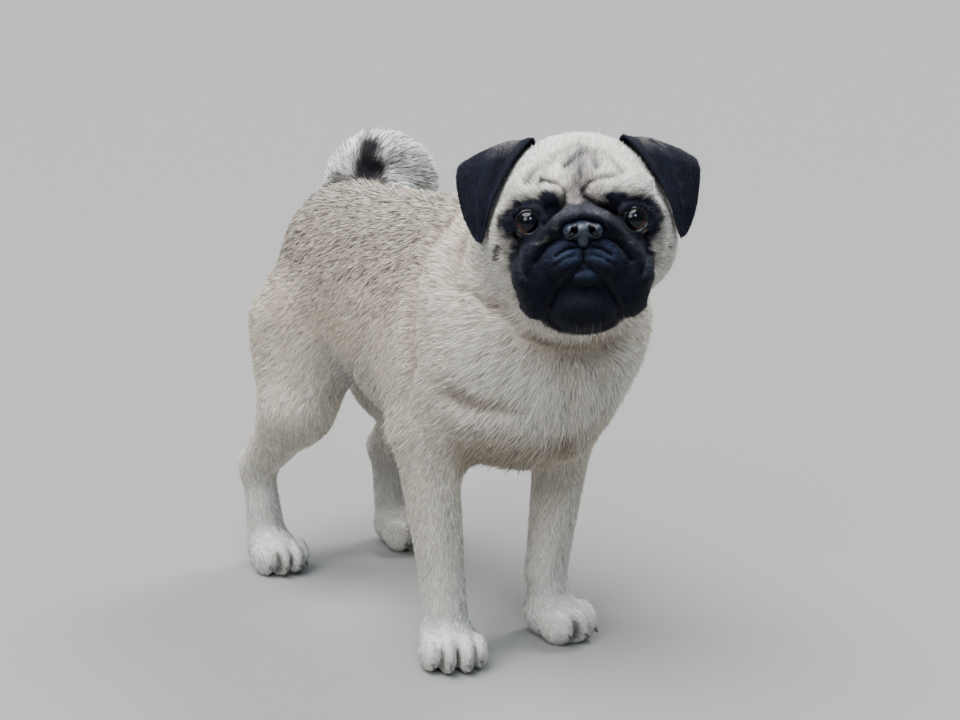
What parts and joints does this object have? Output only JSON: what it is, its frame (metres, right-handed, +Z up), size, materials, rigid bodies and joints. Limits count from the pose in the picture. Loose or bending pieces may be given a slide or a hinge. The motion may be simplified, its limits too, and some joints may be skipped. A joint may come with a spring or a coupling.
{
  "type": "pug",
  "caption": "Life-size still model of a standing pug, head turned to its right, folded ears hanging, tail curled over its back.",
  "frame": {"origin": "on the floor under the middle of the animal's length and width", "axes": "+X to the animal's left, +Y towards its tail, +Z up"},
  "size_m": [0.188, 0.4136, 0.3684],
  "materials": {
    "fawn_coat": "short fawn fur with a grey-brown saddle",
    "cream_coat": "short cream fur",
    "black_coat": "short black velvety fur",
    "nose_leather": "moist black leather",
    "eye": "wet and dark brown, with a large pupil"
  },
  "bodies": {
    "root": {"torso": "fawn_coat", "neck": "fawn_coat", "head": "cream_coat", "nose": "nose_leather", "eye_right": "eye", "eye_left": "eye", "ear_right": "black_coat", "ear_left": "black_coat", "foreleg_right": "cream_coat", "foreleg_left": "cream_coat", "hindleg_right": "cream_coat", "hindleg_left": "cream_coat", "forepaw_right": "cream_coat", "forepaw_left": "cream_coat", "hindpaw_right": "cream_coat", "hindpaw_left": "cream_coat", "tail": "cream_coat"}
  },
  "joints": []
}
